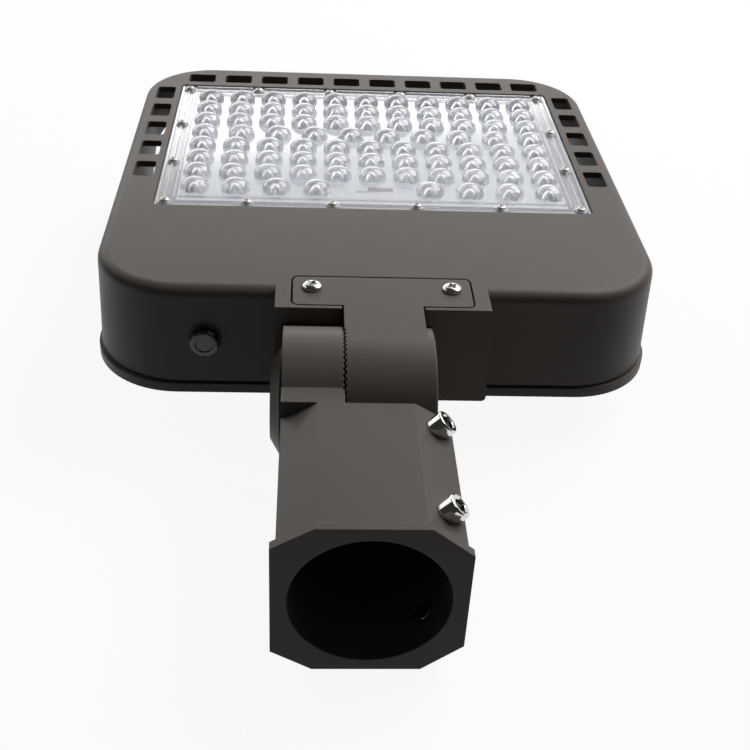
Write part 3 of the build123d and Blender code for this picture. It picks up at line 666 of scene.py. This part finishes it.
class LIGHT_OT_board(bpy.types.Operator):
    """Lays the white board with a diode under each lens, its connector and its leads"""

    bl_idname = "light.board"
    bl_label = "Board and diodes"

    def execute(self, context):
        values = settings("light_lenses")
        # White solder mask, screen printed over copper: even, slightly glossy
        board = grained(
            "white_solder_mask",
            values.board,
            {"Roughness": 0.45, "IOR": 1.5},
            width=6.0,
            depth=0.02,
            spread=0.03,
        )
        finish_node("led_board", board)
        # Liquid-crystal polymer, moulded: the white body of each diode and the connector
        white = grained(
            "white_moulded_polymer",
            linear("#e9e9e6"),
            {"Roughness": 0.4, "IOR": 1.6},
            width=0.8,
            depth=0.02,
            spread=0.04,
        )
        finish_node("lead_connector", white)
        # Phosphor in clear silicone, cast into the body: deep yellow when unlit
        yellow = grained(
            "cast_phosphor_silicone",
            values.phosphor,
            {"Roughness": 0.25, "IOR": 1.41},
            width=0.4,
            depth=0.02,
        )
        shape = bmesh.new()
        for x, y in lens_places():
            spot = placing(x, y, BOARD_TOP_Z)
            block(shape, (-1.75, -1.4, 0.0), (1.75, 1.4, 0.55), spot, 0)
            turn(shape, [(1.3, 0.55), (1.2, 0.62), (0, 0.65)], 20, spot, 1)
        place_piece("diodes", shape, [white, yellow], "head", ["led_chips"])
        finish_node("board_screws", stainless())
        self.leads()
        return {"FINISHED"}

    def leads(self):
        """Red and black insulation for the two short leads, which lie a pitch apart"""
        low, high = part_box("lead_wires")
        material, tree, shader = start("silicone_wire_insulation", {"Roughness": 0.5, "IOR": 1.41})
        place = add(tree, "ShaderNodeTexCoord").outputs["Object"]
        parts = add(tree, "ShaderNodeSeparateXYZ", {}, {0: place})
        upper = add(
            tree,
            "ShaderNodeMath",
            {"operation": "GREATER_THAN", 1: (low.y + high.y) / 2},
            {0: parts.outputs["Y"]},
        )
        tone = add(
            tree,
            "ShaderNodeMix",
            {"data_type": "RGBA", 6: linear("#2a2324"), 7: linear("#a8232b")},
            {"Factor": upper.outputs[0]},
        )
        tree.links.new(tone.outputs[2], shader.inputs["Base Color"])
        finish_node("lead_wires", material)


class LIGHT_OT_face_screws(bpy.types.Operator):
    """Sets the cross-recessed screws of the arm, the lens sheet and the rear cover"""

    bl_idname = "light.face_screws"
    bl_label = "Face screws"

    def execute(self, context):
        steel = stainless()
        recess = settings("light_screws").recess_depth / MM
        arm = copies(
            pan_head(radius=4.7, height=2.6, recess=recess, length=15.9, shank=2.5, segments=96, steps=26),
            [
                Matrix.Translation(Vector((HEAD_CENTRE_X + side * ARM_SCREW_X, ARM_SCREW_Y, FACE_Z)) * MM)
                @ Matrix.Rotation(0.5 * side, 4, "Z")
                for side in (-1, 1)
            ],
        )
        place_piece("arm_pan_screws", arm, [steel], "head", ["arm_screws"])
        lens = copies(
            pan_head(radius=2.5, height=1.4, recess=0.9, length=11.8, shank=1.5, segments=48, steps=12),
            [
                Matrix.Translation(Vector((x, y, PLATE_TOP_Z + 1.0)) * MM) @ Matrix.Rotation(x + y, 4, "Z")
                for x, y in lens_screw_places()
            ],
        )
        # Barrel finished, so duller than the arm's screws
        dull = metal(
            "barrelled_stainless_steel",
            settings("light_screws").steel,
            roughness=0.45,
            scratch_width=0.4,
            edge=0.1,
        )
        place_piece("lens_pan_screws", lens, [dull], "head", ["lens_screws"])
        spots = [
            (HEAD_CENTRE_X + side * x, y)
            for y, row in COVER_SCREW_ROWS
            for x in row
            for side in (-1, 1)
        ]
        cover = copies(
            pan_head(radius=3.6, height=2.2, recess=1.3, length=19.6, shank=2.0, segments=48, steps=12),
            [
                Matrix.Translation(Vector((x, y, COVER_UNDER_Z)) * MM)
                @ Matrix.Rotation(math.pi, 4, "X")
                @ Matrix.Rotation(x * y, 4, "Z")
                for x, y in spots
            ],
        )
        place_piece("cover_pan_screws", cover, [steel], "head", ["cover_screws"])
        return {"FINISHED"}


class LIGHT_OT_set_screws(bpy.types.Operator):
    """Threads the four plated socket set screws of the slip fitter"""

    bl_idname = "light.set_screws"
    bl_label = "Set screws"

    def execute(self, context):
        values = settings("light_screws")
        # Steel, nickel plated in a bright bath
        plated = metal(
            "bright_nickel_plate", values.plating, roughness=0.1, scratch_width=0.8, edge=0.2
        )
        pitch = values.thread_pitch / MM
        for name, (y, side) in SET_SCREWS.items():
            out = Vector((math.sqrt(0.5), 0, side * math.sqrt(0.5)))
            along = Vector((0, 1, 0))
            axes = Matrix((along, out.cross(along), out)).transposed().to_4x4()
            tip = Vector((0, y, 0)) + out * SET_SCREW_TIP
            spot = placing(*tip, axes)
            shape = self.screw(spot, pitch)
            place_piece(name + "_threaded", shape, [plated], name, [name])
        return {"FINISHED"}

    def screw(self, spot, pitch):
        """Cup point, rolled thread, plain top with a rounded lip, and the hexagon socket"""
        shape = bmesh.new()
        segments = 48
        radius, threaded = 5.55, 7.4
        heights = [0.9 + index * pitch / 8 for index in range(int((threaded - 0.9) / (pitch / 8)))]
        rings = [[(3.0, 0.5)] * segments, [(4.1, 0.0)] * segments]
        for height in heights:
            ring = []
            for index in range(segments):
                phase = (height / pitch - index / segments) % 1
                depth = 0.62 * abs(2 * phase - 1)
                fade = min(1.0, (threaded - height) / pitch, 0.4 + (height - 0.9) / pitch)
                ring.append((radius - depth * max(0.0, fade) - max(0.0, 0.8 - height + 0.9) * 0.8, height))
            rings.append(ring)
        lip = ((radius, 14.5), (5.45, 14.95), (5.1, 15.28), (4.6, 15.4), (3.7, 15.35))
        for pair in ((radius, threaded),) + lip:
            rings.append([pair] * segments)
        before = None
        for ring in rings:
            verts = []
            for index, (r, z) in enumerate(ring):
                verts.append(shape.verts.new(around(spot, r, 2 * math.pi * index / segments, z)))
            if before:
                bridge(shape, before, verts)
            else:
                shape.faces.new(verts)
            before = verts
        # Hexagon socket 5.6 mm across flats
        for flat, depth in ((3.23, 15.0), (3.16, 10.6)):
            verts = []
            for index in range(segments):
                angle = 2 * math.pi * index / segments
                share = angle % (math.pi / 3) - math.pi / 6
                r = flat * math.cos(math.pi / 6) / math.cos(share)
                verts.append(shape.verts.new(around(spot, r, angle, depth)))
            bridge(shape, before, verts)
            before = verts
        crown_over(shape, before, shape.verts.new(spot @ Vector((0, 0, 9.8))))
        return shape


class LIGHT_OT_pivot(bpy.types.Operator):
    """Finishes the pivot bolt, its washer and its nut"""

    bl_idname = "light.pivot"
    bl_label = "Pivot bolt"

    def execute(self, context):
        for name in ("pivot_bolt", "pivot_washer", "pivot_nut"):
            finish_node(name, stainless())
        return {"FINISHED"}


class LIGHT_OT_breather(bpy.types.Operator):
    """Moulds the breather plug in the near wall, on its washer"""

    bl_idname = "light.breather"
    bl_label = "Breather plug"

    def execute(self, context):
        # Nylon, injection moulded: black with a soft gloss
        nylon = grained(
            "black_moulded_nylon",
            linear("#171719"),
            {"Roughness": 0.38, "IOR": 1.53},
            width=0.5,
            depth=0.03,
        )
        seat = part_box("plug_washer")[0].y / MM
        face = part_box("breather_plug")[0].y / MM
        to_near = Matrix.Rotation(math.pi / 2, 4, "X")
        spot = placing(PLUG_X, seat, PLUG_Z, to_near)
        thick = seat - face
        shape = bmesh.new()
        segments = 96
        rings = []
        grip_profile = [(0.97, 0.0), (1.0, 0.25), (1.0, thick - 1.1), (0.95, thick - 0.4)]
        face_profile = [(0.84, thick), (0.62, thick), (0.56, thick - 0.5), (0.2, thick - 0.5)]
        for share, height in grip_profile + face_profile:
            ring = []
            for index in range(segments):
                angle = 2 * math.pi * index / segments
                grip = 0.022 * (1 + math.cos(12 * angle)) if 0.9 < share and height > 0.1 else 0
                r = 7.2 * (share - grip)
                ring.append(shape.verts.new(around(spot, r, angle, height)))
            rings.append(ring)
        for ring, above in zip(rings, rings[1:]):
            bridge(shape, ring, above)
        shape.faces.new(rings[0])
        shape.faces.new(rings[-1])
        turn(shape, [(0, -10.1), (4.6, -10.1), (5.0, -9.6), (5.0, 0.1), (0, 0.1)], 40, spot)
        place_piece("breather_cap", shape, [nylon], "head", ["breather_plug"])
        finish_node("plug_washer", black_rubber())
        return {"FINISHED"}


class LIGHT_OT_seals(bpy.types.Operator):
    """Finishes the gaskets and the wire grommet"""

    bl_idname = "light.seals"
    bl_label = "Seals"

    def execute(self, context):
        for name in ("cover_gasket", "wire_grommet"):
            finish_node(name, black_rubber())
        # Silicone, cut from sheet: grey and dull
        silicone = grained(
            "cut_silicone_sheet",
            linear("#bfc1c4"),
            {"Roughness": 0.6, "IOR": 1.41},
            width=1.2,
            depth=0.03,
            spread=0.05,
        )
        finish_node("lens_gasket", silicone)
        return {"FINISHED"}


class LIGHT_OT_driver_bay(bpy.types.Operator):
    """Finishes the driver, the surge protector, the terminal block and their screws"""

    bl_idname = "light.driver_bay"
    bl_label = "Driver bay"

    def execute(self, context):
        # Aluminium, extruded and etched: pale grey, fine matt grain
        case = metal(
            "etched_extruded_aluminium", linear("#a9abad"), roughness=0.42, scratch_width=0.9, edge=0.4
        )
        finish_node("driver", case)
        # Polyamide, moulded: black with a fine spark-eroded grain
        polyamide = grained(
            "spark_eroded_polyamide",
            linear("#202122"),
            {"Roughness": 0.55, "IOR": 1.53},
            width=0.5,
            depth=0.05,
        )
        finish_node("surge_protector", polyamide)
        finish_node("terminal_block", polyamide)
        finish_node("driver_screws", stainless())
        return {"FINISHED"}


class LIGHT_OT_stage(bpy.types.Operator):
    """Lays the pale floor and sets the lamps and the surrounding light"""

    bl_idname = "light.stage"
    bl_label = "Stage"

    def execute(self, context):
        scene = context.scene
        scene.view_settings.view_transform = "Standard"
        self.floor(settings("light_stage").floor)
        self.surroundings(scene)
        self.lamp(
            "overhead_softbox", place=(0.85, 0.9, 1.2), aim=(0.02, 0.3, 0.0), width=1.3, depth=0.9, power=20.0
        )
        self.lamp(
            "left_softbox", place=(-1.1, 0.6, 0.8), aim=(0.0, 0.3, 0.02), width=0.5, depth=0.7, power=1.6
        )
        self.lamp(
            "far_strip", place=(-0.6, 1.9, 0.65), aim=(0.0, 0.3, 0.04), width=2.6, depth=0.35, power=9.0
        )
        return {"FINISHED"}

    def floor(self, colour):
        """Seen directly, or in metal and glass, the floor is white, and it keeps the shadow"""
        material, tree, shader = start("white_painted_floor", {"Roughness": 0.9})
        shader.inputs["Base Color"].default_value = shade(colour, 0.1)
        shader.inputs["Specular IOR Level"].default_value = 0.0
        path = add(tree, "ShaderNodeLightPath")
        seen = path.outputs["Is Camera Ray"]
        for name in ("Is Glossy Ray", "Is Transmission Ray"):
            either = add(tree, "ShaderNodeMath", {"operation": "MAXIMUM"}, {0: seen, 1: path.outputs[name]})
            seen = either.outputs[0]
        glow = add(tree, "ShaderNodeMath", {"operation": "MULTIPLY", 1: 0.92}, {0: seen})
        shader.inputs["Emission Color"].default_value = (1, 1, 1, 1)
        tree.links.new(glow.outputs[0], shader.inputs["Emission Strength"])
        shape = bmesh.new()
        reach, bend, steps = 6.0, 1.2, 12
        line = [(-reach, 0.0)]
        for step in range(steps + 1):
            angle = math.pi / 2 * step / steps
            line.append((3.0 + bend * math.sin(angle), bend * (1 - math.cos(angle))))
        line.append((3.0 + bend, 5.0))
        for y, z in line:
            shape.verts.new((-reach, y, z + FLOOR_Z * MM))
            shape.verts.new((reach, y, z + FLOOR_Z * MM))
        shape.verts.ensure_lookup_table()
        for index in range(len(line) - 1):
            a = 2 * index
            shape.faces.new([shape.verts[i] for i in (a, a + 1, a + 3, a + 2)])
        mesh = bpy.data.meshes.new("floor")
        shape.to_mesh(mesh)
        shape.free()
        mesh.materials.append(material)
        mesh.shade_smooth()
        floor = bpy.data.objects.new("floor", mesh)
        bpy.context.scene.collection.objects.link(floor)

    def surroundings(self, scene):
        world = bpy.data.worlds.new("studio")
        scene.world = world
        world.use_nodes = True
        tree = world.node_tree
        light = tree.nodes["Background"]
        light.inputs["Color"].default_value = (0.95, 0.97, 1.0, 1)
        path = add(tree, "ShaderNodeLightPath")
        seen = add(
            tree,
            "ShaderNodeMath",
            {"operation": "MAXIMUM"},
            {0: path.outputs["Is Camera Ray"], 1: path.outputs["Is Transmission Ray"]},
        ).outputs[0]
        light_level = add(
            tree,
            "ShaderNodeMapRange",
            {"To Min": 0.035, "To Max": 1.0},
            {"Value": seen},
        )
        tree.links.new(light_level.outputs["Result"], light.inputs["Strength"])

    def lamp(self, name, place, aim, width, depth, power):
        data = bpy.data.lights.new(name, "AREA")
        data.shape = "RECTANGLE"
        data.size = width
        data.size_y = depth
        data.energy = power
        lamp = bpy.data.objects.new(name, data)
        bpy.context.scene.collection.objects.link(lamp)
        lamp.location = place
        lamp.rotation_euler = (Vector(aim) - Vector(place)).to_track_quat("-Z", "Y").to_euler()


class LIGHT_PT_panel(bpy.types.Panel):
    """Every step of the light's dressing"""

    bl_idname = "LIGHT_PT_panel"
    bl_label = "Area Light"
    bl_space_type = "VIEW_3D"
    bl_region_type = "UI"
    bl_category = "Area Light"

    def draw(self, context):
        for group in GROUPS:
            box = self.layout.box()
            values = getattr(context.scene, group)
            for name in values.bl_rna.properties.keys():
                if name not in ("rna_type", "name"):
                    box.prop(values, name)
        for operator in OPERATORS:
            self.layout.operator(operator.bl_idname)


GROUPS = {
    "light_castings": CastingSettings,
    "light_lenses": LensSettings,
    "light_screws": ScrewSettings,
    "light_stage": StageSettings,
}
OPERATORS = (
    LIGHT_OT_camera,
    LIGHT_OT_castings,
    LIGHT_OT_lens_sheet,
    LIGHT_OT_board,
    LIGHT_OT_face_screws,
    LIGHT_OT_set_screws,
    LIGHT_OT_pivot,
    LIGHT_OT_breather,
    LIGHT_OT_seals,
    LIGHT_OT_driver_bay,
    LIGHT_OT_stage,
)


def register():
    for name, group in GROUPS.items():
        bpy.utils.register_class(group)
        setattr(bpy.types.Scene, name, bpy.props.PointerProperty(type=group))
    for operator in OPERATORS:
        bpy.utils.register_class(operator)
    bpy.utils.register_class(LIGHT_PT_panel)


def unregister():
    bpy.utils.unregister_class(LIGHT_PT_panel)
    for operator in reversed(OPERATORS):
        bpy.utils.unregister_class(operator)
    for name, group in reversed(GROUPS.items()):
        delattr(bpy.types.Scene, name)
        bpy.utils.unregister_class(group)


def main():
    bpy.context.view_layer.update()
    register()
    for operator in OPERATORS:
        group, name = operator.bl_idname.split(".")
        getattr(getattr(bpy.ops, group), name)()


if __name__ == "__main__":
    main()
